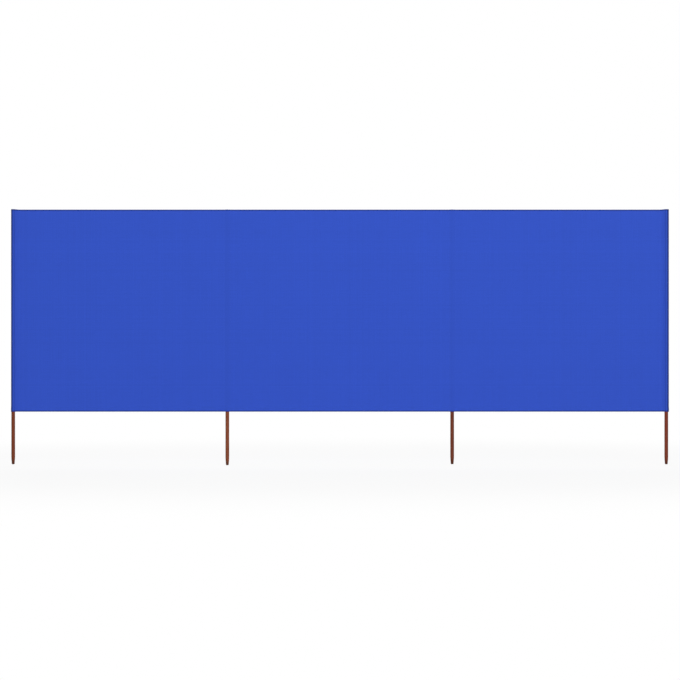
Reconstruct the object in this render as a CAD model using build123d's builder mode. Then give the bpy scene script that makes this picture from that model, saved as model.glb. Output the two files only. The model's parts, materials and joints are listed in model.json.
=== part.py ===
from build123d import *
from math import atan2, degrees
import os

# Beach windbreak: three bays of woven cloth on four wooden poles, which stand in pockets
# sewn to the cloth and are pushed into the sand. Sizes are in millimetres.
# X runs along the screen, its front faces -Y, and Z is up. The origin is the centre of the
# flat tip of the left inner pole.

# Poles
pole_length = 1500
pole_diameter = 22
pole_tip_diameter = 12
pole_taper_length = 42
pole_shoulder_round = 60
pole_top_round = 2
left_inner_pole_slip = 6    # how far this pole has slid down in its pocket

# Bays, from pole centre to pole centre
outer_bay = 1271
middle_bay = 1336

# Cloth
cloth_thickness = 0.5
screen_height = 1200
hem_height = 20
layer_gap = 0.2             # between layers that lie together in a hem or a seam

# Pockets
pole_ease = 0.3             # room between a pole and its pocket
pocket_top_depth = 11.7     # closed top, from the cloth's edge down to the pole's end
pocket_top_ease = 0.1       # room between the closed top and the pocket round it
end_loop_reach = 34         # from the end pole's centre to where the loop closes
end_seam_width = 8
end_top_reach = 20          # from the end pole's centre to the inner edge of the closed top
inner_strip_foot = 15       # from the inner pole's centre to where the strip meets the cloth
inner_seam_reach = 21       # from the inner pole's centre to the outer edge of the seam

# Folds, where an outer bay turns on the seam beside an inner pole
fold_gap = 0.3
fold_hem_setback = 5

# Places that follow from the sizes
pole_radius = pole_diameter / 2
pocket_radius = pole_radius + pole_ease
layer_pitch = cloth_thickness + layer_gap
cloth_y = -pocket_radius - cloth_thickness / 2
end_pole_y = cloth_y + layer_pitch / 2
foot_z = left_inner_pole_slip
edge_top = foot_z + pole_length + pole_ease + pocket_top_depth
edge_bottom = edge_top - screen_height
panel_height = screen_height - 2 * hem_height
left_end_x = -outer_bay
right_end_x = middle_bay + outer_bay
left_fold_x = -inner_seam_reach
right_fold_x = middle_bay + inner_seam_reach
end_seam_edge = end_loop_reach + end_seam_width
fold_clearance = cloth_thickness / 2 + fold_gap

os.makedirs("parts", exist_ok=True)


# Poles: turned softwood, tapered to a blunt tip, with the edge of the top rounded
pole_feet = {
    "left_end_pole": (left_end_x, end_pole_y, foot_z),
    "left_inner_pole": (0, 0, foot_z - left_inner_pole_slip),
    "right_inner_pole": (middle_bay, 0, foot_z),
    "right_end_pole": (right_end_x, end_pole_y, foot_z),
}
for pole_name, foot in pole_feet.items():
    with BuildPart() as pole:
        with BuildSketch(Plane(foot, x_dir=(1, 0, 0), z_dir=(0, -1, 0))) as half:
            with BuildLine():
                Polyline(
                    (0, 0),
                    (pole_tip_diameter / 2, 0),
                    (pole_radius, pole_taper_length),
                    (pole_radius, pole_length),
                    (0, pole_length),
                    close=True,
                )
            make_face()
            outer_corners = half.vertices().group_by(Axis.X)[-1].sort_by(Axis.Y)
            fillet(outer_corners[0], radius=pole_shoulder_round)
            fillet(outer_corners[-1], radius=pole_top_round)
        revolve(axis=Axis(foot, (0, 0, 1)))
    pole.part.label = pole_name
    export_step(pole.part, f"parts/{pole_name}.step")


# Pockets: the cloth lies round its pole and leaves it in a hollow curve, down to a seam
def pocket_half(radius, reach, level):
    """Half of a pocket in plan, from where it meets the seam, at that level, to the far side
    of a pole at the origin. The hollow curve runs smoothly into both."""
    hollow = (reach**2 + level**2 - radius**2) / (2 * (radius - level))
    leave = degrees(atan2(level + hollow, reach))
    with BuildLine() as outline:
        CenterArc((reach, level + hollow), hollow, 270, leave - 90)
        CenterArc((0, 0), radius, leave, (180 if level > 0 else 90) - leave)
    return outline.edges()


# End pockets: the cloth goes round the pole and back, and is sewn to itself beside it
seam_level = layer_pitch / 2
wrap_radius = pocket_radius + cloth_thickness / 2
for side, centre_x, inward in (("left", left_end_x, 1), ("right", right_end_x, -1)):
    centre = (centre_x, end_pole_y)
    with BuildPart() as end_pocket:
        with BuildSketch(Plane((*centre, edge_bottom), x_dir=(inward, 0, 0))):
            with BuildLine():
                Line((end_seam_edge, seam_level), (end_loop_reach, seam_level))
                add(pocket_half(wrap_radius, end_loop_reach, seam_level))
                mirror(about=Plane.XZ)
            trace(line_width=cloth_thickness)
        extrude(amount=screen_height)
    end_pocket.part.label = f"{side}_end_pocket"
    export_step(end_pocket.part, f"parts/{side}_end_pocket.step")

    # Its closed top: cloth turned in over the pole's end, with a skirt that the end meets
    with BuildPart() as end_top:
        with BuildSketch(Plane((*centre, edge_top), x_dir=(inward, 0, 0))):
            with BuildLine():
                add(pocket_half(pocket_radius, end_loop_reach, layer_gap / 2))
                mirror(about=Plane.XZ)
                Line((end_loop_reach, -layer_gap / 2), (end_loop_reach, layer_gap / 2))
            make_face()
            with Locations((end_top_reach, 0)):
                Rectangle(
                    end_seam_edge, pole_diameter, align=(Align.MIN, Align.CENTER), mode=Mode.SUBTRACT
                )
            offset(amount=-pocket_top_ease)
        extrude(amount=-pocket_top_depth)
        offset(amount=-cloth_thickness, openings=end_top.faces().sort_by(Axis.Z)[0])
    end_top.part.label = f"{side}_end_pocket_top"
    export_step(end_top.part, f"parts/{side}_end_pocket_top.step")


# Inner pockets: a strip laid over the pole on the back of the cloth, sewn down each side
strip_level = -pocket_radius + cloth_thickness / 2
strip_edge = inner_seam_reach - fold_clearance
for side, centre_x in (("left", 0), ("right", middle_bay)):
    with BuildPart() as inner_pocket:
        with BuildSketch(Plane((centre_x, 0, edge_bottom))):
            with BuildLine():
                Line((strip_edge, strip_level), (inner_strip_foot, strip_level))
                add(pocket_half(wrap_radius, inner_strip_foot, strip_level))
                mirror(about=Plane.YZ)
            trace(line_width=cloth_thickness)
        extrude(amount=screen_height)
    inner_pocket.part.label = f"{side}_inner_pocket"
    export_step(inner_pocket.part, f"parts/{side}_inner_pocket.step")

    with BuildPart() as inner_top:
        with BuildSketch(Plane((centre_x, 0, edge_top))):
            with BuildLine():
                add(pocket_half(pocket_radius, inner_strip_foot, -pocket_radius))
                mirror(about=Plane.YZ)
                Line((-inner_strip_foot, -pocket_radius), (inner_strip_foot, -pocket_radius))
            make_face()
            offset(amount=-pocket_top_ease)
        extrude(amount=-pocket_top_depth)
        offset(amount=-cloth_thickness, openings=inner_top.faces().sort_by(Axis.Z)[0])
    inner_top.part.label = f"{side}_inner_pocket_top"
    export_step(inner_top.part, f"parts/{side}_inner_pocket_top.step")


# Outer panels: one layer of cloth from the fold to the end pocket's seam, with a rounded
# edge on the fold line and the full height of the screen just beside it
outer_panel_width = outer_bay - inner_seam_reach - end_seam_edge
for side, fold_x, outward in (("left", left_fold_x, -1), ("right", right_fold_x, 1)):
    with BuildPart() as outer_panel:
        for width, base, height in (
            (outer_panel_width, edge_bottom + hem_height, panel_height),
            (fold_hem_setback, edge_bottom, screen_height),
        ):
            with BuildSketch(Plane((fold_x, cloth_y, base), x_dir=(outward, 0, 0))):
                Rectangle(width, cloth_thickness, align=(Align.MIN, Align.CENTER))
                Circle(cloth_thickness / 2)
            extrude(amount=height)
    outer_panel.part.label = f"{side}_panel"
    export_step(outer_panel.part, f"parts/{side}_panel.step")


# Middle panel: one layer of cloth across both inner poles, full height where it covers them
middle_hem_length = middle_bay - 2 * inner_seam_reach
pocket_front_width = 2 * inner_seam_reach - fold_clearance
with BuildPart() as middle_panel:
    with BuildSketch(Plane((inner_seam_reach, cloth_y, edge_bottom + hem_height))):
        Rectangle(middle_hem_length, cloth_thickness, align=(Align.MIN, Align.CENTER))
    extrude(amount=panel_height)
    for seam_x, outward in ((inner_seam_reach, -1), (middle_bay - inner_seam_reach, 1)):
        with BuildSketch(Plane((seam_x, cloth_y, edge_bottom), x_dir=(outward, 0, 0))):
            Rectangle(pocket_front_width, cloth_thickness, align=(Align.MIN, Align.CENTER))
        extrude(amount=screen_height)
middle_panel.part.label = "middle_panel"
export_step(middle_panel.part, "parts/middle_panel.step")


# Hems: the edge of the cloth turned over to the back twice, so that three layers lie together
over_fold_depth = layer_pitch + cloth_thickness / 2
under_fold_rise = (layer_pitch + cloth_thickness) / 2
outer_hem_length = outer_panel_width - fold_hem_setback
hem_starts = {
    "left": (left_end_x + end_seam_edge, outer_hem_length),
    "middle": (inner_seam_reach, middle_hem_length),
    "right": (right_fold_x + fold_hem_setback, outer_hem_length),
}
for bay, (start_x, hem_length) in hem_starts.items():
    for edge, edge_z, up in (("top", edge_top, 1), ("bottom", edge_bottom, -1)):
        with BuildPart() as hem:
            across = Plane((start_x, cloth_y, edge_z), x_dir=(0, 1, 0), z_dir=(up, 0, 0))
            with BuildSketch(across):
                with BuildLine():
                    front = Line((0, -hem_height), (0, -over_fold_depth))
                    over = CenterArc((layer_pitch, -over_fold_depth), layer_pitch, 180, -180)
                    back = Line(over @ 1, (2 * layer_pitch, under_fold_rise - hem_height))
                    under_centre = (1.5 * layer_pitch, under_fold_rise - hem_height)
                    under = CenterArc(under_centre, layer_pitch / 2, 0, -180)
                    Line(under @ 1, (layer_pitch, -over_fold_depth))
                trace(line_width=cloth_thickness)
            extrude(amount=up * hem_length)
        hem.part.label = f"{bay}_{edge}_hem"
        export_step(hem.part, f"parts/{bay}_{edge}_hem.step")
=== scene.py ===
import json
from math import atan2, pi, radians

import bmesh
import bpy
import numpy as np
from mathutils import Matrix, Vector


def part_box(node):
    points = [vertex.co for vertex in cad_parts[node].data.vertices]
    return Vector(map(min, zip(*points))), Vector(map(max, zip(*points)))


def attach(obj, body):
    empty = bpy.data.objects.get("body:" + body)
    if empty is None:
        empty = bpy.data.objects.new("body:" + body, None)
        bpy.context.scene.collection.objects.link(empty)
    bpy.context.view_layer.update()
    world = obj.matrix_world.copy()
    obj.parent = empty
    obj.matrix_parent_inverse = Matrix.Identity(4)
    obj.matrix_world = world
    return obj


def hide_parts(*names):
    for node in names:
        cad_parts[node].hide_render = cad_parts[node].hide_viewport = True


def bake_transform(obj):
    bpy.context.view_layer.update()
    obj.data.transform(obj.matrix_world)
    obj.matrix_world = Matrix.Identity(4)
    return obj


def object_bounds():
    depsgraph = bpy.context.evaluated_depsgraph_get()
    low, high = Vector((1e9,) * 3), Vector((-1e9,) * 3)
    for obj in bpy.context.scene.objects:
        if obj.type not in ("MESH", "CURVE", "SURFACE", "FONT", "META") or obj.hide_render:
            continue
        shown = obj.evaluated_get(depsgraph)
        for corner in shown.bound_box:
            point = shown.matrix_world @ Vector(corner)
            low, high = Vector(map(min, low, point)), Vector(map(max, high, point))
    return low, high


# Beach windbreak: three bays of plain blue cloth on four turned poles. The cloth is held in
# pockets over the poles, with rolled hems along its top and bottom edges.
# Sizes are in metres. X runs along the screen, its front faces -Y, and Z is up.

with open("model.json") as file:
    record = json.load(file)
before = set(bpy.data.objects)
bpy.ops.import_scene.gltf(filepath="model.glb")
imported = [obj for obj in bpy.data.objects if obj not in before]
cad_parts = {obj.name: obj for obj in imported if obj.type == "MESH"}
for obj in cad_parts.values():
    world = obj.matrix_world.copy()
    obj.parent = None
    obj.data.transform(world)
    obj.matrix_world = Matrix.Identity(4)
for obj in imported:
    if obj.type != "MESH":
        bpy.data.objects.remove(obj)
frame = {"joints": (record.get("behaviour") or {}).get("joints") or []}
cad_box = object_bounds()
millimetre = 0.001


# Poles
# Turned softwood, stained red-brown and left matt, rounded down to a blunt tip. They stand
# in their pockets and show only below the cloth. The tips are worn, and darker in colour.

pole_names = ("left_end_pole", "left_inner_pole", "right_inner_pole", "right_end_pole")
pole_boxes = {name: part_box(name) for name in pole_names}
pole_places = {name: ((low + high) / 2, low.z, high.z) for name, (low, high) in pole_boxes.items()}
pole_low, pole_high = pole_boxes["right_end_pole"]
pole_radius = (pole_high.x - pole_low.x) / 2

# The tip's outline, and how unevenly the pole is turned
tip_radius = 7.8 * millimetre
tip_wear = 2.4 * millimetre
taper_length = 45 * millimetre
taper_fullness = 1.35
top_round = 2 * millimetre
turning_waver = 0.07 * millimetre
waver_length = 250 * millimetre
out_of_round = 0.5
twist_per_metre = 9

# Where the mesh has rings: up the tip, down from the round top edge, and across both ends
taper_step = 2 * millimetre
shaft_step = 12 * millimetre
tip_rings = np.array((0, 0.05, 0.2, 0.45, 0.75, 1))
rim_rings = np.array((2.5, 1, 0.7, 0.4, 0.15, 0.03, 0))
cap_rings = np.array((0.02, 0.6))
sides_round_pole = 48

swell_lengths = np.array((0.62, 0.87, 1.31, 1.94))
swell_height = 2.6
cloth_map = "cloth"


def uneven_wave(length, seed):
    """An uneven wave over distance, between about -1 and 1, in swells of about that length."""
    lengths = length * swell_lengths
    phases = np.random.default_rng(seed).uniform(0, 2 * pi, len(lengths))

    def wave(distance):
        waves = (np.sin(2 * pi * distance / swell + phase) for swell, phase in zip(lengths, phases))
        return sum(waves) / swell_height

    return wave


def ease(share):
    """0 below 0 and 1 above 1, with a smooth step between."""
    held = np.clip(share, 0, 1)
    return held * held * (3 - 2 * held)


def placed(name, data):
    """A new object in the scene, with that mesh, lamp or camera."""
    made = bpy.data.objects.new(name, data)
    bpy.context.scene.collection.objects.link(made)
    return made


def surface(name, places, map_places=None, left_out=None, round_about=False):
    """A mesh over a grid of points, rows by columns. left_out marks cells without a face,
    and round_about joins the last column to the first."""
    rows, columns = places.shape[:2]
    index = np.arange(rows * columns).reshape(rows, columns)
    if round_about:
        index = np.concatenate((index, index[:, :1]), axis=1)
    cells = np.stack((index[:-1, :-1], index[:-1, 1:], index[1:, 1:], index[1:, :-1]), axis=-1)
    cells = cells.reshape(-1, 4) if left_out is None else cells[~left_out]
    used, corners = np.unique(cells, return_inverse=True)
    mesh = bpy.data.meshes.new(name)
    mesh.from_pydata(places.reshape(-1, 3)[used].tolist(), [], corners.reshape(-1, 4).tolist())
    if map_places is not None:
        layer = mesh.uv_layers.new(name=cloth_map)
        layer.uv.foreach_set("vector", map_places.reshape(-1, 2)[cells.ravel()].ravel())
    return placed(name, mesh)


def shade(piece, sharp_over=40):
    """Smooth shading, with edges sharper than that many degrees left sharp."""
    piece.data.shade_smooth()
    piece.data.set_sharp_from_angle(angle=radians(sharp_over))


def feed(tree, made, inputs):
    """Sets or links a node's inputs, by name or number."""
    for key, value in inputs.items():
        if isinstance(value, bpy.types.NodeSocket):
            tree.links.new(value, made.inputs[key])
        else:
            made.inputs[key].default_value = value


def node(tree, kind, inputs=(), **settings):
    """A shader node with its settings and its inputs."""
    made = tree.nodes.new("ShaderNode" + kind)
    for key, value in settings.items():
        setattr(made, key, value)
    feed(tree, made, dict(inputs))
    return made


def figure(tree, operation, *values):
    """A Math node's result."""
    return node(tree, "Math", dict(enumerate(values)), operation=operation).outputs[0]


def weighted(tree, value, weight, rest):
    """A value times its weight, added to the rest."""
    return figure(tree, "MULTIPLY_ADD", value, weight, rest)


def by_axis(tree, operation, *values):
    """A Vector Math node's result."""
    return node(tree, "VectorMath", dict(enumerate(values)), operation=operation).outputs[0]


def drawn_out(tree, place, scale):
    """A place scaled by axis, for grain or yarns that run one way."""
    return by_axis(tree, "MULTIPLY", place, scale)


def speckle(tree, place, scale, detail=2):
    """Soft noise from 0 to 1."""
    return node(tree, "TexNoise", {"Vector": place, "Scale": scale, "Detail": detail}).outputs["Fac"]


def step(tree, value, start, end, low, high):
    """A smooth step from low to high as a value goes from start to end."""
    inputs = {0: value, 1: start, 2: end, 3: low, 4: high}
    return node(tree, "MapRange", inputs, interpolation_type="SMOOTHSTEP").outputs[0]


def varied(tree, value, strength):
    """A factor that swings about 1 by that strength as a value goes from 0 to 1."""
    return weighted(tree, value, strength, 1 - strength / 2)


def toned(tree, colour, tone):
    """A colour made lighter or darker by a factor."""
    return node(tree, "VectorMath", {0: colour, 3: tone}, operation="SCALE").outputs[0]


def bumped(tree, height, depth, strength):
    """The normal of a surface with that height pressed into it."""
    inputs = {"Height": height, "Distance": depth, "Strength": strength}
    return node(tree, "Bump", inputs).outputs[0]


def new_material(name):
    """A material, with its node tree and its shader."""
    material = bpy.data.materials.new(name)
    material.use_nodes = True
    return material, material.node_tree, material.node_tree.nodes["Principled BSDF"]


def effect(name, inputs, outputs):
    """An empty node group, with its inputs' kinds by name and its outputs as numbers."""
    group = bpy.data.node_groups.new(name, "ShaderNodeTree")
    for label, kind in inputs.items():
        group.interface.new_socket(label, in_out="INPUT", socket_type="NodeSocket" + kind)
    for label in outputs:
        group.interface.new_socket(label, in_out="OUTPUT", socket_type="NodeSocketFloat")
    return group, group.nodes.new("NodeGroupInput").outputs, group.nodes.new("NodeGroupOutput")


# Scales are marks in a metre, and each stretch draws its marks out along the rod
ring_width = 2.1 * millimetre
ring_bend = 6 * millimetre
ring_sharpness = 3
bend_scale, cloud_scale, fibre_scale, scratch_scale = 70, 160, 1500, 620
ring_stretch, cloud_stretch, fibre_stretch, scratch_stretch = 0.012, 0.05, 0.018, 0.03
scuff_start, scuff_full = 0.62, 0.72
ring_relief, fibre_relief, scuff_relief = 0.4, 0.6, -0.5


def turned_grain():
    """Growth rings cut along a turned rod, whose heart lies off its axis, with fine fibres,
    clouds of stain, and scuffs that run down the rod."""
    group, given, result = effect(
        "turned_grain",
        {"Place": "Vector", "Heart": "Vector", "Ring width": "Float"},
        ("Rings", "Fibres", "Clouds", "Scuffs", "Height"),
    )
    place = given["Place"]
    along = drawn_out(group, place, (1, 1, cloud_stretch))
    bend = node(group, "TexNoise", {"Vector": along, "Scale": bend_scale, "Detail": 2}).outputs["Color"]
    from_heart = by_axis(group, "SUBTRACT", place, given["Heart"])
    flattened = drawn_out(group, from_heart, (1, 1, ring_stretch))
    bent = by_axis(group, "ADD", flattened, drawn_out(group, bend, (ring_bend, ring_bend, 0)))
    away = node(group, "VectorMath", {0: bent}, operation="LENGTH").outputs["Value"]
    turns = figure(group, "DIVIDE", away, given["Ring width"])
    swing = figure(group, "SINE", figure(group, "MULTIPLY", turns, 2 * pi))
    rings = figure(group, "POWER", weighted(group, swing, 0.5, 0.5), ring_sharpness)
    fibres = speckle(group, drawn_out(group, place, (1, 1, fibre_stretch)), fibre_scale, detail=3)
    scratches = speckle(group, drawn_out(group, place, (1, 1, scratch_stretch)), scratch_scale, detail=1)
    scuffs = step(group, scratches, scuff_start, scuff_full, 0.0, 1.0)
    relief = figure(group, "MULTIPLY", rings, ring_relief)
    relief = weighted(group, fibres, fibre_relief, relief)
    relief = weighted(group, scuffs, scuff_relief, relief)
    clouds = speckle(group, along, cloud_scale, detail=3)
    marks = {"Rings": rings, "Fibres": fibres, "Clouds": clouds, "Scuffs": scuffs, "Height": relief}
    feed(group, result, marks)
    return group


grain = turned_grain()
ring_tone, fibre_tone, tone_shift = 0.5, 0.6, -0.13
cloud_strength, scuff_wear = 0.5, 0.28
tip_dark_colour = (0.034, 0.013, 0.006, 1)
tip_dark_height = 8 * millimetre
tip_dark_fade = 30 * millimetre
tip_dark_strength = 0.6
ragged_height = 50 * millimetre
wood_roughness, fibre_roughness = 0.55, 0.25
wood_specular = 0.18
grain_depth, grain_strength = 0.15 * millimetre, 0.9


def stained_wood(name, centre, foot, early, late, heart):
    """Stained softwood for one pole, with its colours between and on the growth rings. The
    tip is darker in colour, and scuffs from the sand are paler."""
    material, tree, shader = new_material(name)
    place = node(tree, "TexCoord").outputs["Object"]
    from_tip = by_axis(tree, "SUBTRACT", place, (centre.x, centre.y, foot))
    cut = {"Place": from_tip, "Heart": heart, "Ring width": ring_width}
    marks = node(tree, "Group", cut, node_tree=grain).outputs
    tone = weighted(tree, marks["Fibres"], fibre_tone, tone_shift)
    tone = weighted(tree, marks["Rings"], ring_tone, tone)
    grained = node(tree, "Mix", {0: tone, 6: (*early, 1), 7: (*late, 1)}, data_type="RGBA").outputs[2]
    clouded = toned(tree, grained, varied(tree, marks["Clouds"], cloud_strength))
    scuffed = toned(tree, clouded, weighted(tree, marks["Scuffs"], scuff_wear, 1.0))
    up = node(tree, "SeparateXYZ", {0: from_tip}).outputs["Z"]
    off_centre = figure(tree, "SUBTRACT", marks["Clouds"], 0.5)
    ragged = weighted(tree, off_centre, ragged_height, up)
    # The colour darkens towards the tip, with a ragged edge above it
    tip_dark_top = tip_dark_height + tip_dark_fade
    tip_darkening = step(tree, ragged, tip_dark_height, tip_dark_top, tip_dark_strength, 0.0)
    finish = {
        "Base Color": node(tree, "Mix", {0: tip_darkening, 6: scuffed, 7: tip_dark_colour}, data_type="RGBA").outputs[2],
        "Roughness": weighted(tree, marks["Fibres"], fibre_roughness, wood_roughness),
        "Normal": bumped(tree, marks["Height"], grain_depth, grain_strength),
        "Specular IOR Level": wood_specular,
    }
    feed(tree, shader, finish)
    return material


# Each pole's stain between and on its growth rings, and where its heart lies from its tip
pole_stains = {
    "left_end_pole": ((0.209, 0.0450, 0.0155), (0.084, 0.0180, 0.0065), (0.017, 0.006, 0)),
    "left_inner_pole": ((0.260, 0.0675, 0.0260), (0.114, 0.0280, 0.0113), (-0.012, 0.016, 0.2)),
    "right_inner_pole": ((0.183, 0.0395, 0.0158), (0.076, 0.0165, 0.0065), (0.009, -0.019, -0.3)),
    "right_end_pole": ((0.223, 0.0402, 0.0170), (0.091, 0.0160, 0.0065), (-0.018, -0.007, 0.4)),
}


def turned_pole(name, centre, foot, top, seed):
    """A rod with rings at each height of its turned outline, closed at both ends."""
    length = top - foot
    shoulder_end = 1.5 * taper_length
    tip = tip_wear * tip_rings
    taper = np.arange(tip_wear + taper_step, shoulder_end, taper_step)
    shaft = np.arange(shoulder_end, length - 5 * top_round, shaft_step)
    rim = length - top_round * rim_rings
    up = np.concatenate((tip, taper, shaft, rim))
    below_shoulder = np.clip(1 - up / taper_length, 0, 1)
    radius = pole_radius - (pole_radius - tip_radius) * below_shoulder**taper_fullness
    for from_end, rounding in ((up, tip_wear), (length - up, top_round)):
        inside = np.clip(1 - from_end / rounding, 0, 1)
        radius = radius - rounding * (1 - np.sqrt(1 - inside**2))
    radius = np.concatenate((cap_rings * radius[0], radius, cap_rings[::-1] * radius[-1]))
    up = np.concatenate(((0, 0), up, (length, length)))[:, None]
    around = np.linspace(0, 2 * pi, sides_round_pole, endpoint=False)
    oval = out_of_round * np.sin(2 * around + twist_per_metre * up)
    waver = uneven_wave(waver_length, seed)(up) - 1 + oval
    radius = radius[:, None] + turning_waver * waver * ease(radius / pole_radius)[:, None]
    x = centre.x + radius * np.cos(around)
    y = centre.y + radius * np.sin(around)
    z = np.broadcast_to(foot + up, radius.shape)
    piece = surface(name, np.stack((x, y, z), axis=-1), round_about=True)
    shade(piece)
    return piece


for seed, (pole_name, (centre, foot, top)) in enumerate(pole_places.items()):
    pole = turned_pole(pole_name + "_turned", centre, foot, top, seed)
    pole.data.materials.append(stained_wood(pole_name + "_stain", centre, foot, *pole_stains[pole_name]))
    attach(pole, "middle_bay" if "inner" in pole_name else pole_name.replace("_end_pole", "_bay"))
    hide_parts(pole_name)


# Cloth of the bays
# Plain-woven blue cloth, drawn tight from pocket to pocket. Its top and bottom edges are
# turned to the back twice and sewn down, so each hem is three layers thick.

panel_low, panel_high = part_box("middle_panel")
edge_bottom, edge_top = panel_low.z, panel_high.z
cloth_y = (panel_low.y + panel_high.y) / 2
cloth_thickness = panel_high.y - panel_low.y
hem_low, hem_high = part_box("middle_top_hem")
hem_height = hem_high.z - hem_low.z
layer_pitch = (hem_high.y - hem_low.y - cloth_thickness) / 2
over_fold_depth = layer_pitch + cloth_thickness / 2
under_fold_depth = hem_height - (layer_pitch + cloth_thickness) / 2
fold_lines = {joint["child"]: joint["pos_m"][0] for joint in frame["joints"]}
inner_pole_xs = [pole_places[name][0].x for name in ("left_inner_pole", "right_inner_pole")]
fold_reach = abs(fold_lines["left_bay"] - inner_pole_xs[0])
pocket_spans = [[corner.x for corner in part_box(side + "_end_pocket")] for side in ("left", "right")]
pocket_spans += [[x - fold_reach, x + fold_reach] for x in inner_pole_xs]

# Spacing of the mesh, closer along the edges and where the cloth folds
row_spacing = 14 * millimetre
column_spacing = 5 * millimetre
fine_spacing = 2.5 * millimetre
fine_depth = 30 * millimetre
bend_width = 12 * millimetre
bend_spacing = 1.5 * millimetre

# Swells of the tight cloth, and the puckers along its hems and beside its pockets
slack = 0.8 * millimetre
slack_fade = 140 * millimetre
long_share = 0.6
long_slant, tall_slant, hem_slant = 0.35, -0.2, 0.2
hem_pucker = 0.30 * millimetre
hem_pucker_fade = 16 * millimetre
pocket_pucker = 0.16 * millimetre
pocket_pucker_fade = 14 * millimetre

# The hems' turns and ends, and where the stitches run
inner_rows, turn_rows, back_rows, roll_rows = 4, 4, 6, 6
end_press = 0.26
end_press_fade = 7 * millimetre
roll_end = 0.4 * millimetre
seam_close = 0.5 * millimetre
stitch_drop = 16.5 * millimetre
strip_stitch_in = 2.7 * millimetre

long_swell = uneven_wave(length=0.55, seed=31)
tall_swell = uneven_wave(length=0.70, seed=32)
hem_swell = uneven_wave(length=0.026, seed=33)
seam_swell = uneven_wave(length=0.080, seed=34)


def cloth_wave(x, z):
    """How far the tight cloth strays to the back of its plane: long shallow swells between
    the pockets, and puckers drawn up by the stitching of hems and pockets."""
    beside = [np.maximum(low - x, x - high) for low, high in pocket_spans]
    from_pocket = np.maximum(np.min(beside, axis=0), 0)
    from_stitches = np.abs(np.minimum(edge_top - z, z - edge_bottom) - stitch_drop)
    swells = long_share * long_swell(x + long_slant * z)
    swells = swells + (1 - long_share) * tall_swell(z + tall_slant * x)
    swells = slack * swells * ease(from_pocket / slack_fade)
    along_hem = hem_pucker * hem_swell(x + hem_slant * z) * np.exp(-from_stitches / hem_pucker_fade)
    reach = from_pocket / pocket_pucker_fade
    beside_pocket = pocket_pucker * seam_swell(z) * reach * np.exp(1 - reach)
    return swells + along_hem * ease(from_pocket / fine_depth) + beside_pocket


def thicken(piece):
    """Gives a sheet its thickness, half to each side, and smooth shading."""
    layers = piece.modifiers.new("thickness", "SOLIDIFY")
    layers.thickness = cloth_thickness
    layers.offset = 0
    layers.use_even_offset = True
    bpy.context.view_layer.objects.active = piece
    bpy.ops.object.modifier_apply(modifier=layers.name)
    shade(piece)


def arc(centre_depth, centre_drop, radius, start, end, steps):
    """Depth and drop of points on an arc in the hem's section, without its first point."""
    angle = np.radians(np.linspace(start, end, steps + 1)[1:])
    return centre_depth + radius * np.cos(angle), centre_drop - radius * np.sin(angle)


def hem_section():
    """The hem from its raw edge to the front layer, as depth behind the front layer and
    drop below the edge of the cloth."""
    inner_drop = np.linspace(over_fold_depth, under_fold_depth, inner_rows)
    inner_depth = np.full(inner_rows, layer_pitch)
    under_depth, under_drop = arc(1.5 * layer_pitch, under_fold_depth, layer_pitch / 2, 180, 360, turn_rows)
    back_drop = np.linspace(under_fold_depth, over_fold_depth, back_rows)[1:]
    back_depth = np.full(back_rows - 1, 2 * layer_pitch)
    over_depth, over_drop = arc(layer_pitch, over_fold_depth, layer_pitch, 0, 180, roll_rows)
    depth = np.concatenate((inner_depth, under_depth, back_depth, over_depth))
    drop = np.concatenate((inner_drop, under_drop, back_drop, over_drop))
    return depth, drop


def spread(*marks):
    """Stations through marks of (place, spacing), each spacing holding up to the next mark."""
    stations = [marks[0][0]]
    for (start, spacing), (end, _) in zip(marks[:-1], marks[1:]):
        steps = max(1, round(abs(end - start) / spacing))
        stations.extend(np.linspace(start, end, steps + 1)[1:])
    return np.array(stations)


def bay_cloth(name, columns, hem_span):
    """One bay's cloth with its rolled hems. hem_span is where the hems start and end. Past
    that, under the pockets, only the front layer runs on."""
    hem_depth, hem_drop = hem_section()
    hem_rows = len(hem_depth)
    front_top, front_bottom = edge_top - over_fold_depth, edge_bottom + over_fold_depth
    front = spread(
        (front_top, fine_spacing),
        (front_top - fine_depth, row_spacing),
        (front_bottom + fine_depth, fine_spacing),
        (front_bottom, fine_spacing),
    )[1:-1]
    depth = np.concatenate((hem_depth, np.zeros(len(front)), hem_depth[::-1]))
    height = np.concatenate((edge_top - hem_drop, front, edge_bottom + hem_drop[::-1]))
    length = np.cumsum(np.hypot(np.diff(depth, prepend=depth[0]), np.diff(height, prepend=height[0])))
    length = length[hem_rows] + height[hem_rows] - length
    x, z = np.meshgrid(columns, height)
    nearly = fine_spacing / 10
    bare = (columns < hem_span[0] - nearly) | (columns > hem_span[1] + nearly)
    middle = (edge_top + edge_bottom) / 2
    full_height = (edge_top - middle) / (front_top - middle)
    z = np.where(bare, middle + (z - middle) * full_height, z)
    from_hem_end = np.minimum(columns - hem_span[0], hem_span[1] - columns)
    pressed = 1 - end_press * (1 - ease(from_hem_end / end_press_fade))
    y = cloth_y + depth[:, None] * pressed + cloth_wave(x, z)
    places = np.stack((x, y, z), axis=-1)
    map_places = np.stack((x, np.broadcast_to(length[:, None], x.shape)), axis=-1)
    cell_x = (columns[:-1] + columns[1:]) / 2
    outside = (cell_x < hem_span[0]) | (cell_x > hem_span[1])
    in_hem = np.ones(len(height) - 1, bool)
    in_hem[hem_rows - 1 : 1 - hem_rows] = False
    piece = surface(name, places, map_places, left_out=in_hem[:, None] & outside)
    thicken(piece)
    return piece


# What each yarn's own tone and its bulge add to the weave's tone, and where yarns thicken
yarn_width = 0.5 * millimetre
yarn_part, bulge_part, part_shift = 0.55, 0.45, -0.01
slub_scale = 420
warp_slub_stretch, weft_slub_stretch = (1, 0.02, 1), (0.03, 1, 1)
warp_slubs, weft_slubs = 0.4, 0.6
slub_relief = 0.8


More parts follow.
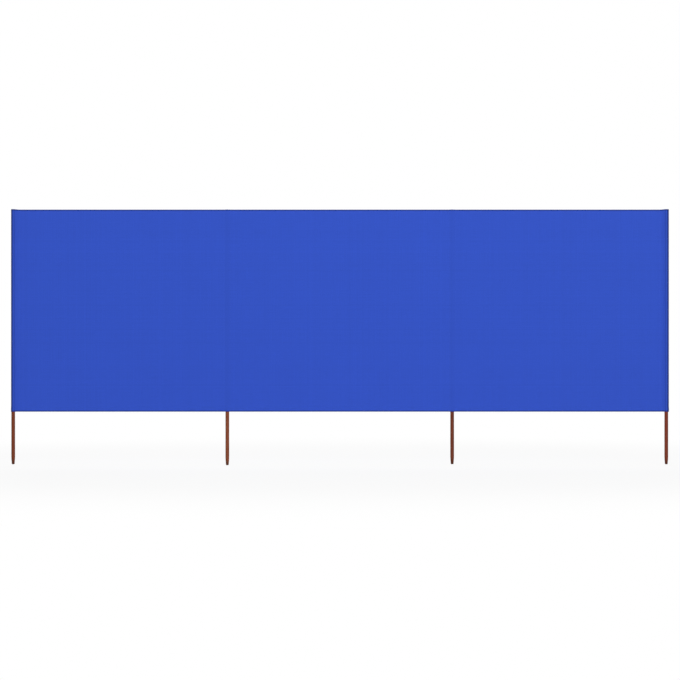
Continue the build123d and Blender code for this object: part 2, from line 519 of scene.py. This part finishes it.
def plain_weave():
    """Warp and weft yarns that pass over and under each other one by one. Each yarn has a
    tone of its own, and thicker places come and go along it."""
    inputs = {"Place": "Vector", "Yarn": "Float"}
    group, given, result = effect("plain_weave", inputs, ("Tone", "Slubs", "Height"))
    split = node(group, "SeparateXYZ", {0: given["Place"]}).outputs
    across = [figure(group, "DIVIDE", split[axis], given["Yarn"]) for axis in ("X", "Y")]
    number = [figure(group, "FLOOR", a) for a in across]
    half_turn = [figure(group, "MULTIPLY", figure(group, "FRACT", a), pi) for a in across]
    bulge = [figure(group, "SINE", turn) for turn in half_turn]
    warp_over = figure(group, "FLOORED_MODULO", figure(group, "ADD", *number), 2)
    chances = [node(group, "TexWhiteNoise", {"W": n}, noise_dimensions="1D") for n in number]
    tones = [chance.outputs["Value"] for chance in chances]
    tops = [
        figure(group, "MULTIPLY", bulge[a], weighted(group, bulge[b], 0.5, 0.5))
        for a, b in ((0, 1), (1, 0))
    ]
    over = [node(group, "Mix", {0: warp_over, 2: b, 3: a}).outputs[0] for a, b in (tops, tones)]
    along_warp, along_weft = [
        speckle(group, drawn_out(group, given["Place"], stretch), slub_scale)
        for stretch in (warp_slub_stretch, weft_slub_stretch)
    ]
    slubs = figure(group, "MULTIPLY", along_weft, weft_slubs)
    slubs = weighted(group, along_warp, warp_slubs, slubs)
    tone = weighted(group, over[0], bulge_part, part_shift)
    tone = weighted(group, over[1], yarn_part, tone)
    height = weighted(group, slubs, slub_relief, over[0])
    feed(group, result, {"Tone": tone, "Slubs": slubs, "Height": height})
    return group


def marked_line():
    """A tone that changes along a line on the cloth: by the line's own tone within its
    width, and less over its fade."""
    inputs = dict.fromkeys(("Tone", "Distance", "Width", "Fade", "Line tone"), "Float")
    group, given, result = effect("marked_line", inputs, ("Tone",))
    start = weighted(group, given["Fade"], -0.5, given["Width"])
    end = weighted(group, given["Fade"], 0.5, given["Width"])
    mark = step(group, given["Distance"], start, end, given["Line tone"], 1.0)
    feed(group, result, {"Tone": figure(group, "MULTIPLY", given["Tone"], mark)})
    return group


weave = plain_weave()
line_mark = marked_line()
cloth_blue = (0.0325, 0.0845, 0.532)
yarn_strength, slub_strength = 0.30, 0.26
patch_strength, patch_scale = 0.05, 3
cloth_roughness, slub_roughness = 0.72, 0.2
cloth_specular = 0.10
cloth_sheen, sheen_roughness = 0.04, 0.5
weave_depth, weave_strength = 0.1 * millimetre, 0.7
dent_height = 9
hollow_from_turn = 26 * millimetre

# Painted shade on the cloth: each mark's width from its line, the fade of its edge, and its tone
edge_fold_shade = (7.5 * millimetre, 5 * millimetre, 0.50)
stitch_dent_shade = (0.5 * millimetre, 0.8 * millimetre, 0.86)
pole_shadow_through = (pole_radius, 0.5 * pole_radius, 0.973)
pocket_shadow_through = (fold_reach, 0.2 * pole_radius, 0.988)
turned_edge_shade = (17 * millimetre, 4 * millimetre, 0.50)
hollow_crease_shade = (2.5 * millimetre, 2 * millimetre, 0.75)
turned_side_shade = (50 * millimetre, 10 * millimetre, 0.95)


def woven_cloth(name, poles_behind=(), turned_at=None, stitched=()):
    """The blue cloth, with painted shade along the folds of the hems and pockets, a painted
    shadow stripe where a pole stands behind it, and painted shade in the dents of the rows of
    stitches that draw it in."""
    material, tree, shader = new_material(name)
    place = node(tree, "UVMap", uv_map=cloth_map).outputs["UV"]
    yarns = node(tree, "Group", {"Place": place, "Yarn": yarn_width}, node_tree=weave).outputs
    split = node(tree, "SeparateXYZ", {0: place}).outputs

    def away(distance, line):
        return figure(tree, "ABSOLUTE", figure(tree, "SUBTRACT", distance, line))

    def marked(tone, distance, width, fade, line_tone):
        line = {"Tone": tone, "Distance": distance, "Width": width, "Fade": fade, "Line tone": line_tone}
        return node(tree, "Group", line, node_tree=line_mark).outputs["Tone"]

    to_edge = figure(tree, "MINIMUM", away(split["Y"], edge_top), away(split["Y"], edge_bottom))
    # The stitch lines are pressed in as dents, and painted shade darkens them
    dents_and_shade = marked(1.0, away(to_edge, stitch_drop), *stitch_dent_shade)
    for stitch_x in stitched:
        dents_and_shade = marked(dents_and_shade, away(split["X"], stitch_x), *stitch_dent_shade)
    # Painted shade along the folds at the top and bottom edges
    tone = marked(dents_and_shade, to_edge, *edge_fold_shade)
    # Painted shadow of each inner pole and its pocket strip, as if seen through the cloth
    for pole_x in poles_behind:
        tone = marked(tone, away(split["X"], pole_x), *pole_shadow_through)
        tone = marked(tone, away(split["X"], pole_x), *pocket_shadow_through)
    # Painted shade where the cloth turns round an end pole, in the crease of the hollow beside it and over
    # its side
    if turned_at is not None:
        from_turn = away(split["X"], turned_at)
        tone = marked(tone, from_turn, *turned_edge_shade)
        tone = marked(tone, away(from_turn, hollow_from_turn), *hollow_crease_shade)
        tone = marked(tone, from_turn, *turned_side_shade)
    patches = speckle(tree, place, patch_scale, detail=3)
    tone = figure(tree, "MULTIPLY", tone, varied(tree, yarns["Tone"], yarn_strength))
    tone = figure(tree, "MULTIPLY", tone, varied(tree, yarns["Slubs"], slub_strength))
    tone = figure(tree, "MULTIPLY", tone, varied(tree, patches, patch_strength))
    height = weighted(tree, dents_and_shade, dent_height, yarns["Height"])
    finish = {
        "Base Color": toned(tree, cloth_blue, tone),
        "Roughness": weighted(tree, yarns["Slubs"], slub_roughness, cloth_roughness),
        "Normal": bumped(tree, height, weave_depth, weave_strength),
        "Specular IOR Level": cloth_specular,
        "Sheen Weight": cloth_sheen,
        "Sheen Roughness": sheen_roughness,
    }
    feed(tree, shader, finish)
    return material


def follow(piece, bay):
    """A piece of the middle bay rides on that bay's body. An outer bay's piece only has its
    place baked into its mesh."""
    if bay == "middle":
        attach(piece, "middle_bay")
        return
    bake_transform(piece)


def bay_columns(bay, hem_start, hem_end):
    """Where the columns of a bay's cloth stand, with one just past each hem's end."""
    if bay == "middle":
        return spread(
            (panel_low.x, fine_spacing),
            (hem_start - roll_end, fine_spacing),
            (hem_start, fine_spacing),
            (hem_start + bend_width, column_spacing),
            (hem_end - bend_width, fine_spacing),
            (hem_end, fine_spacing),
            (hem_end + roll_end, fine_spacing),
            (panel_high.x, fine_spacing),
        )
    fold_x = fold_lines[bay + "_bay"]
    outward = -1 if bay == "left" else 1
    near, far = (hem_end, hem_start) if bay == "left" else (hem_start, hem_end)
    return spread(
        (panel_low.x if bay == "left" else panel_high.x, bend_spacing),
        (fold_x, bend_spacing),
        (near - outward * roll_end, bend_spacing),
        (near, bend_spacing),
        (fold_x + 1.5 * outward * bend_width, column_spacing),
        (far, column_spacing),
    )[::outward]


strip_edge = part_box("left_inner_pocket")[1].x - inner_pole_xs[0]
strip_stitch_xs = [x + side * (strip_edge - strip_stitch_in) for x in inner_pole_xs for side in (-1, 1)]
plain_cloth = woven_cloth("blue_cloth_plain")
pole_cloth = woven_cloth("blue_cloth_over_poles", poles_behind=inner_pole_xs, stitched=strip_stitch_xs)
cloth_spans = {}
for bay in ("left", "middle", "right"):
    hem_start, hem_end = (corner.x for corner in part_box(bay + "_top_hem"))
    if bay == "middle":
        hem_start, hem_end = hem_start - seam_close, hem_end + seam_close
    columns = bay_columns(bay, hem_start, hem_end)
    cloth = bay_cloth(bay + "_cloth", columns, (hem_start, hem_end))
    cloth.data.materials.append(pole_cloth if bay == "middle" else plain_cloth)
    follow(cloth, bay)
    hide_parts(bay + "_panel", bay + "_top_hem", bay + "_bottom_hem")
    cloth_spans[bay] = (columns[0], columns[-1])


# End pockets
# At each end the cloth goes round the pole and back, and is sewn to itself beside it. Its
# mouth is hemmed to the inside, and its top edge is rolled in over a piece of the same
# cloth that closes it. The right-hand pocket fits a little loosely on its pole.

loop_reach = 34 * millimetre
loop_slack = {"left": 0.7 * millimetre, "right": 3.3 * millimetre}
seam_stitch_in = 4 * millimetre
end_lift = 2 * millimetre
lift_fade = 26 * millimetre
mouth_height = hem_height - 1.5 * millimetre
mouth_spacing = 3 * millimetre
mouth_rows = 6
mouth_turn = (225, 270, 315)
lip_roll = (22, 45, 68, 90)
lip_height = 1.4 * millimetre
lip_depth = 1.9 * millimetre
lip_tuck = 0.6 * millimetre

# Ripples over the pole and drags in the bend beside it, as height, length and slant, and
# the gathers at both ends
wrap_waver, wrap_waver_length, wrap_slant = 0.12 * millimetre, 60 * millimetre, 0.4
bend_waver, bend_waver_length, bend_slant = 0.45 * millimetre, 110 * millimetre, -0.7
gather_depth = 0.30 * millimetre
gather_pitch = 6.2 * millimetre
gather_change = 30 * millimetre
gather_fade = 9 * millimetre
hem_from_grip = 0.3

# The cloth that closes the top
top_inset = 0.75 * millimetre
top_skirt = 8 * millimetre
top_edge_round = 1.4 * millimetre
top_sink = 0.9 * millimetre
top_crown = 1.5 * millimetre
crown_rise = 6 * millimetre
top_gather = 0.22 * millimetre
top_gathers = 9
top_narrowest = 0.9 * millimetre
top_weld = 0.02 * millimetre

seam_columns, bend_columns, wrap_columns, top_columns = 4, 12, 26, 11
first_seed, seeds_each = 50, 4


def half_plan(radius, reach, level, wrap_end, seam_edge, loose=0):
    """Half of a pocket in plan, from its seam edge, at that level, to the far side of a pole
    at the origin, where it may stand loose: points, outward directions, how far the cloth is
    held by the pole, from 0 to 1, where it hangs free, and how deep its lip is."""
    hollow = (reach**2 + level**2 - radius**2) / (2 * (radius - level))
    leave = atan2(level + hollow, reach)
    seam = np.linspace(seam_edge, reach, seam_columns)
    bend = np.linspace(1.5 * pi, pi + leave, bend_columns)[1:]
    wrap = np.linspace(leave, wrap_end, wrap_columns)[1:]
    bend_way = np.stack((np.cos(bend), np.sin(bend)), axis=1)
    wrap_way = np.stack((np.cos(wrap), np.sin(wrap)), axis=1)
    seam_points = np.stack((seam, np.full(seam_columns, level)), axis=1)
    wrap_points = radius * wrap_way
    wrap_points[:, 0] -= loose * ease(-wrap_way[:, 0])
    points = (seam_points, np.array((reach, level + hollow)) + hollow * bend_way, wrap_points)
    outward = (np.tile((0.0, 1.0), (seam_columns, 1)), -bend_way, wrap_way)
    share = np.linspace(0, 1, bend_columns)[1:]
    grip = (np.zeros(seam_columns), ease(share), np.ones(wrap_columns - 1))
    free = (np.zeros(seam_columns), np.sin(pi * share) ** 2, np.zeros(wrap_columns - 1))
    points, outward, grip, free = (np.concatenate(parts) for parts in (points, outward, grip, free))
    lip = np.where(grip < 1, np.minimum(points[:, 1] - level, lip_depth), lip_depth)
    return points, outward, grip, free, lip


def whole_plan(half, mirror):
    """Both halves of a pocket's plan in one run, with the point where they meet once."""
    return [np.concatenate((part * mirror if part.ndim == 2 else part, part[-2::-1])) for part in half]


def pocket_section():
    """The rows of a pocket's cloth, from the raw edge inside its mouth to the lip at its top:
    their heights, how far inside and how far rolled in each one is, and the number of the
    first one outside."""
    fold = layer_pitch / 2
    fold_base = edge_bottom + cloth_thickness / 2 + fold
    inner = np.linspace(edge_bottom + mouth_height, fold_base, mouth_rows)
    turn = np.radians(mouth_turn)
    outer = spread(
        (fold_base, mouth_spacing),
        (edge_bottom + 2 * mouth_height, row_spacing),
        (edge_top - 2 * mouth_height, mouth_spacing),
        (edge_top - 4 * lip_height, lip_height),
        (edge_top - lip_height, lip_height),
    )
    roll = np.radians(lip_roll)
    over = edge_top - lip_height * (1 - np.sin(roll))
    height = np.concatenate((inner, fold_base + fold * np.sin(turn), outer, over, (edge_top,)))
    first_outer = len(inner) + len(turn)
    inside = np.zeros(len(height))
    inside[:first_outer] = np.concatenate((np.ones(mouth_rows), (1 - np.cos(turn)) / 2))
    rolled = np.zeros(len(height))
    rolled[-1 - len(roll) :] = np.concatenate((1 - np.cos(roll), (1 + lip_tuck / lip_depth,)))
    return height, inside, rolled, first_outer


def pocket_relief(z, along, grip, free, seed):
    """How far a pocket's cloth stands off its plan: ripples over the pole, drags in the bend,
    gathers at both ends, and the bulk of the hem inside its mouth."""
    ripples = uneven_wave(wrap_waver_length, seed)(z + wrap_slant * along)
    ripples = wrap_waver * (1 + ripples) / 2 * grip
    drags = bend_waver * uneven_wave(bend_waver_length, seed + 1)(z + bend_slant * along) * free
    ends = ease((z - edge_bottom) / mouth_height) * ease((edge_top - z) / mouth_height)
    from_end = np.minimum(edge_top - z, 2 * (z - edge_bottom))
    uneven = 1 + uneven_wave(gather_change, seed + 2)(along) / 2
    gathers = gather_depth * uneven * (1 + np.sin(2 * pi * along / gather_pitch + 2 * uneven)) / 2
    gathers = gathers * grip * np.exp(-np.maximum(from_end, 0) / gather_fade)
    bulk = layer_pitch * (1 - ease((z - edge_bottom - mouth_height) / mouth_height)) * grip
    return (ripples + drags) * ends + gathers + bulk


def pocket_cloth(name, plan, place, lift, seed):
    """A pocket's cloth from its hemmed mouth to its rolled top edge, over a whole plan."""
    points, outward, grip, free, lip = plan
    height, inside, rolled, first_outer = pocket_section()
    along = np.concatenate(((0,), np.cumsum(np.hypot(*np.diff(points, axis=0).T))))
    has_hem = grip > hem_from_grip
    z = np.broadcast_to(height[:, None], (len(height), len(grip))).copy()
    z[first_outer] = np.where(has_hem, height[first_outer], edge_bottom)
    out = pocket_relief(z, along, grip, free, seed) - layer_pitch * inside[:, None]
    out = out - lip * rolled[:, None]
    z = z + lift * grip * ease((z - edge_top + lift_fade) / lift_fade)
    plan_places = points + out[..., None] * outward
    x, y = place(plan_places[..., 0], plan_places[..., 1])
    length = np.concatenate(((0,), np.cumsum(np.hypot(np.diff(height), np.diff(inside * layer_pitch)))))
    length = length - length[first_outer] + height[first_outer]
    map_places = np.stack(np.broadcast_arrays(along, length[:, None]), axis=-1)
    held_row = np.ones(len(height) - 1, bool)
    held_row[first_outer:-1] = False
    beside_seam = ~(has_hem[:-1] & has_hem[1:])
    places = np.stack((x, y, z), axis=-1)
    piece = surface(name, places, map_places, left_out=held_row[:, None] & beside_seam)
    thicken(piece)
    return piece


def pocket_top(name, half, mirror, place, lift, front=None):
    """The cloth that closes a pocket over the pole's end: a crowned top with a skirt inside
    the pocket, drawn across from one half of the plan to the other, and its cut. Under a
    strip, its rim starts at front, on the bay's cloth."""
    points, outward, grip = half[:3]
    held = (points[:, 1] > points[0, 1] + top_narrowest) | (grip == 1)
    rim = points[held] - top_inset * outward[held]
    if front is not None:
        rim[0, 1] = front
    far_rim = rim * mirror
    skirt = np.array((0, 0, 0, 0.03))
    skirt_drop = np.array((top_skirt, top_skirt / 2, top_edge_round, top_edge_round / 2))
    across = np.concatenate((skirt, np.linspace(0.1, 0.9, top_columns), 1 - skirt[::-1]))
    drop = np.concatenate((skirt_drop, np.zeros(top_columns), skirt_drop[::-1]))[:, None]
    flat = rim + across[:, None, None] * (far_rim - rim)
    width = np.hypot(*(far_rim - rim).T)
    width = width / width.max()
    rise = np.where(grip < 1, points[:, 1] - points[0, 1], crown_rise)[held]
    crown = top_crown * width * ease(rise / crown_rise) * 4 * (across * (1 - across))[:, None]
    angle = np.arctan2(flat[..., 1], flat[..., 0])
    outness = np.clip(np.hypot(flat[..., 0], flat[..., 1]) / pole_radius, 0, 1)
    gathers = top_gather * np.cos(top_gathers * angle + 2 * np.sin(2 * angle)) * outness**2 * width
    z = edge_top + lift * grip[held] - top_sink + crown + gathers - drop
    x, y = place(flat[..., 0], flat[..., 1])
    piece = surface(name, np.stack((x, y, z), axis=-1), flat)
    shell = bmesh.new()
    shell.from_mesh(piece.data)
    bmesh.ops.remove_doubles(shell, verts=shell.verts, dist=top_weld)
    shell.to_mesh(piece.data)
    shell.free()
    thicken(piece)
    outline = np.concatenate((rim, far_rim[::-1]))
    after = np.roll(outline, 1, axis=0)
    plan_area = abs((outline[:, 0] * after[:, 1] - outline[:, 1] * after[:, 0]).sum()) / 2
    rim_length = np.hypot(*np.diff(rim, axis=0).T).sum()
    cut = tuple(np.ptp(outline, axis=0) + 2 * top_skirt)
    return piece, cut, plan_area + 2 * rim_length * top_skirt


def dress_pocket(number, side, kind, half, inward, lift, stitch_in, front=None):
    """Both pieces of one pocket, on the body of its pole. The plan's x runs inward. Hands
    back the pocket's bay, and what its rows of stitches follow."""
    pole_name = f"{side}_{kind}_pole"
    centre = pole_places[pole_name][0]
    bay = "middle" if kind == "inner" else side
    # An inner pocket's halves lie left and right of its pole, an end one's before and behind it
    mirror = np.array((-1, 1) if kind == "inner" else (1, -1))
    whole = whole_plan(half, mirror)

    def place(plan_x, plan_y):
        return centre.x + inward * plan_x, centre.y + plan_y

    seed = first_seed + seeds_each * number
    pocket = pocket_cloth(f"{side}_{kind}_sleeve", whole, place, lift, seed)
    cap, cap_cut, cap_area = pocket_top(f"{side}_{kind}_sleeve_top", half, mirror, place, lift, front)
    plan_length = np.hypot(*np.diff(whole[0], axis=0).T).sum()
    turned_at = plan_length / 2 if kind == "end" else None
    stitched = (stitch_in, plan_length - stitch_in)
    pocket_blue = woven_cloth(f"blue_cloth_{side}_{kind}_pocket", turned_at=turned_at, stitched=stitched)
    pocket.data.materials.append(pocket_blue)
    cap.data.materials.append(plain_cloth)
    for piece, replaced in ((pocket, f"{side}_{kind}_pocket"), (cap, f"{side}_{kind}_pocket_top")):
        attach(piece, bay + "_bay")
        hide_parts(replaced)
    return bay, whole, place, inward, stitch_in, kind


pockets = []
for side, inward in (("left", 1), ("right", -1)):
    centre = pole_places[side + "_end_pole"][0]
    pocket_low, pocket_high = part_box(side + "_end_pocket")
    outer_radius = pocket_high.y - centre.y
    seam_edge = pocket_high.x - pocket_low.x - outer_radius
    wrap_radius, level = outer_radius - cloth_thickness / 2, layer_pitch / 2
    half = half_plan(wrap_radius, loop_reach, level, pi, seam_edge, loop_slack[side])
    pockets.append(dress_pocket(len(pockets), side, "end", half, inward, end_lift, seam_stitch_in))


# Inner pockets
# A strip of the same cloth over each inner pole, sewn down at both sides on the back of the
# middle bay's cloth. Its mouth and its closed top are made as those of the end pockets.

strip_foot = 15 * millimetre
inner_lift = 0.7 * millimetre

for side in ("left", "right"):
    centre = pole_places[side + "_inner_pole"][0]
    pocket_low, pocket_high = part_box(side + "_inner_pocket")
    wrap_radius = pocket_high.y - centre.y - cloth_thickness / 2
    level = pocket_low.y - centre.y + cloth_thickness / 2
    half = half_plan(wrap_radius, strip_foot, level, pi / 2, pocket_high.x - centre.x)
    front = level - cloth_thickness / 2
    pockets.append(dress_pocket(len(pockets), side, "inner", half, 1, inner_lift, strip_stitch_in, front))


# Stitching
# One row of lockstitch in blue thread holds each hem, the seam beside each end pole and both
# sides of each inner strip. It shows on the front and on the back.

stitch_pitch = 4.4 * millimetre
stitch_length = 3.7 * millimetre
stitch_shape = np.array((0, 0.16, 0.84, 1))
spacing_error = 0.12 * millimetre
side_error = 0.06 * millimetre
thread_radius = 0.24 * millimetre
thread_rise = 0.6 * thread_radius
thread_sink = 0.15 * millimetre
thread_ends = 0.7
thread_corners = (45, 135, 225, 315)
row_from_grip = 0.02
path_step = 2 * millimetre
thread_blue = (0.050, 0.120, 0.66)
fuzz_scale = 1800
fuzz_strength, fuzz_darkest = 0.5, 0.78
fuzz_depth, fuzz_relief = 0.08 * millimetre, 0.7
thread_roughness, thread_specular = 0.55, 0.3
chance = np.random.default_rng(90)


def stitch_row(x, y, z, outward):
    """The visible threads of one row along a path on the cloth, as points of closed rods:
    stitches, stations along each, and corners round each station."""
    points = np.stack(np.broadcast_arrays(x, y, z), axis=1)
    points, outward = np.broadcast_arrays(points, outward)
    along = np.concatenate(((0,), np.cumsum(np.linalg.norm(np.diff(points, axis=0), axis=1))))
    count = int(along[-1] / stitch_pitch)
    first = (along[-1] - count * stitch_pitch + stitch_pitch - stitch_length) / 2
    start = first + stitch_pitch * np.arange(count) + chance.normal(0, spacing_error, count)
    at = start[:, None] + stitch_length * stitch_shape
    place, way = (
        np.stack([np.interp(at, along, values[:, axis]) for axis in range(3)], axis=-1)
        for values in (points, outward)
    )
    way /= np.linalg.norm(way, axis=-1, keepdims=True)
    aside = np.cross(way, place[:, -1:] - place[:, :1])
    aside /= np.linalg.norm(aside, axis=-1, keepdims=True)
    place = place + aside * chance.normal(0, side_error, (count, 1, 1))
    rise = np.array((-thread_sink, thread_rise, thread_rise, -thread_sink))
    place = place + way * rise[:, None]
    corners = np.radians(thread_corners)[:, None]
    girth = thread_radius * np.array((thread_ends, 1, 1, thread_ends))[:, None, None]
    to_corner = np.cos(corners) * aside[:, :, None] + np.sin(corners) * way[:, :, None]
    return place[:, :, None] + girth * to_corner


def sewing_thread():
    """Blue polyester thread, a little lighter and smoother than the cloth."""
    material, tree, shader = new_material("sewing_thread")
    fuzz = speckle(tree, node(tree, "TexCoord").outputs["Object"], fuzz_scale)
    tone = weighted(tree, fuzz, fuzz_strength, fuzz_darkest)
    finish = {
        "Base Color": toned(tree, thread_blue, tone),
        "Roughness": thread_roughness,
        "Normal": bumped(tree, fuzz, fuzz_depth, fuzz_relief),
        "Specular IOR Level": thread_specular,
    }
    feed(tree, shader, finish)
    return material


def stitching(name, rows):
    """One mesh of all the stitches in these rows."""
    threads = np.concatenate(rows)
    number = np.arange(threads[..., 0].size).reshape(threads.shape[:3])
    ring = np.roll(number, -1, axis=2)
    sides = np.stack((number[:, :-1], ring[:, :-1], ring[:, 1:], number[:, 1:]), axis=-1).reshape(-1, 4)
    ends = np.concatenate((number[:, 0, ::-1], number[:, -1]))
    mesh = bpy.data.meshes.new(name)
    mesh.from_pydata(threads.reshape(-1, 3).tolist(), [], np.concatenate((sides, ends)).tolist())
    mesh.materials.append(thread)
    piece = placed(name, mesh)
    shade(piece, sharp_over=95)
    return piece


def stations(start, end):
    """Evenly spaced places along a straight row."""
    return np.linspace(start, end, max(2, round(abs(end - start) / path_step)))


def hem_stitches(bay, cloth_span):
    """The rows that hold a bay's two hems, on the front of the cloth and on the back."""
    hem_span = [corner.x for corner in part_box(bay + "_top_hem")]
    found = []
    for height in (edge_top - stitch_drop, edge_bottom + stitch_drop):
        for span, face, way in ((cloth_span, front_face, to_front), (hem_span, hem_face, to_back)):
            x = stations(*span)
            z = np.full_like(x, height)
            found.append(stitch_row(x, face + cloth_wave(x, z), z, way))
    return found


def pocket_stitches(whole, place, inward, stitch_in, kind):
    """The rows of one pocket: down both ends of its plan, and round it over the pole, at the
    top and at the mouth."""
    points, outward, grip = whole[:3]
    found = []
    z = stations(edge_bottom + path_step, edge_top - path_step)
    for end in (0, -1):
        x, y = place(points[end, 0] - np.sign(points[end, 0]) * stitch_in, points[end, 1])
        way = np.array((0, outward[end, 1], 0))
        faces = [(y + way[1] * cloth_thickness / 2, way)]
        if kind == "inner":
            faces.append((front_face, to_front))
        for face, way in faces:
            found.append(stitch_row(x, face, z, way))
    around = grip > row_from_grip
    way = np.stack((inward * outward[around, 0], outward[around, 1], np.zeros(around.sum())), axis=1)
    for z, bulk in ((edge_top - stitch_drop, 0), (edge_bottom + stitch_drop, layer_pitch)):
        out = cloth_thickness / 2 + bulk * grip[around]
        x, y = place(*(points[around] + out[:, None] * outward[around]).T)
        found.append(stitch_row(x, y, z, way))
    return found


thread = sewing_thread()
to_front, to_back = np.array((0, -1, 0)), np.array((0, 1, 0))
front_face = cloth_y - cloth_thickness / 2
hem_face = cloth_y + 2 * layer_pitch + cloth_thickness / 2
rows = {bay: hem_stitches(bay, cloth_span) for bay, cloth_span in cloth_spans.items()}
for bay, *pocket in pockets:
    rows[bay] += pocket_stitches(*pocket)
for bay, bay_rows in rows.items():
    piece = stitching(bay + "_stitching", bay_rows)
    follow(piece, bay)


# Floor, light and camera
# A pale floor, a soft lamp far in front and above, a weaker one behind, and a long lens. The
# floor's white near the object still takes its shadow and turns plain white further out.

photo_size = 680
photo_scale = 5.938 * millimetre
view_distance = 15
first_pole_pixel = 227.25
cloth_top_pixel = 209.6
floor_reach = 300
floor_grey = (0.88, 0.88, 0.88, 1)
floor_roughness = 0.9
near_whiteness = 0.91
shaded_reach, white_reach = 2.3, 5.0
dim_world, white_world = 0.21, 1.0
scene = bpy.context.scene


def lamp(name, place, target, size, power):
    """A soft rectangular lamp that the camera doesn't see."""
    data = bpy.data.lights.new(name, "AREA")
    data.shape = "RECTANGLE"
    data.size, data.size_y = size
    data.energy = power
    made = placed(name, data)
    made.location = place
    made.rotation_euler = (Vector(target) - Vector(place)).to_track_quat("-Z", "Y").to_euler()
    made.visible_camera = False


middle_x = (cad_box[0].x + cad_box[1].x) / 2
lamp("front_lamp", place=(middle_x + 1.0, -11.0, 4.0), target=(middle_x, 0, 0.9), size=(6, 4), power=895)
lamp("back_lamp", place=(middle_x - 1.5, 9.0, 5.5), target=(middle_x, 0, 0.9), size=(5, 4), power=630)

world = bpy.data.worlds.new("studio")
world.use_nodes = True
scene.world = world
studio = world.node_tree
rays = node(studio, "LightPath").outputs
seen = figure(studio, "MAXIMUM", rays["Is Glossy Ray"], rays["Is Transmission Ray"])
seen = figure(studio, "MAXIMUM", seen, rays["Is Camera Ray"])
brightness = node(studio, "MapRange", {0: seen, 3: dim_world, 4: white_world}).outputs[0]
feed(studio, studio.nodes["Background"], {"Color": (1, 1, 1, 1), "Strength": brightness})

floor_mesh = bpy.data.meshes.new("floor")
corners = [(x * floor_reach, y * floor_reach, 0) for x, y in ((-1, -1), (1, -1), (1, 1), (-1, 1))]
floor_mesh.from_pydata(corners, [], [(0, 1, 2, 3)])
floor = placed("floor", floor_mesh)
floor.location = (middle_x, 0, 0)
pale_floor, pale, matt = new_material("pale_floor")
feed(pale, matt, {"Base Color": floor_grey, "Roughness": floor_roughness, "Specular IOR Level": 0})
white = node(pale, "Emission", {"Color": (1, 1, 1, 1), "Strength": 1.0})
from_middle = node(pale, "VectorMath", {0: node(pale, "TexCoord").outputs["Object"]}, operation="LENGTH")
whiteness = step(pale, from_middle.outputs["Value"], shaded_reach, white_reach, near_whiteness, 1.0)
share = figure(pale, "MULTIPLY", node(pale, "LightPath").outputs["Is Camera Ray"], whiteness)
both = node(pale, "MixShader", {0: share, 1: matt.outputs[0], 2: white.outputs[0]})
feed(pale, pale.nodes["Material Output"], {"Surface": both.outputs[0]})
floor_mesh.materials.append(pale_floor)

scene.view_settings.view_transform = "Standard"
camera = placed("camera", bpy.data.cameras.new("camera"))
scene.camera = camera
camera.data.lens = camera.data.sensor_width * view_distance / (photo_size * photo_scale)
camera.data.clip_end = 2 * floor_reach
camera.location = (
    (photo_size / 2 - first_pole_pixel) * photo_scale,
    cloth_y - view_distance,
    edge_top - (photo_size / 2 - cloth_top_pixel) * photo_scale,
)
camera.rotation_euler = (radians(90), 0, 0)
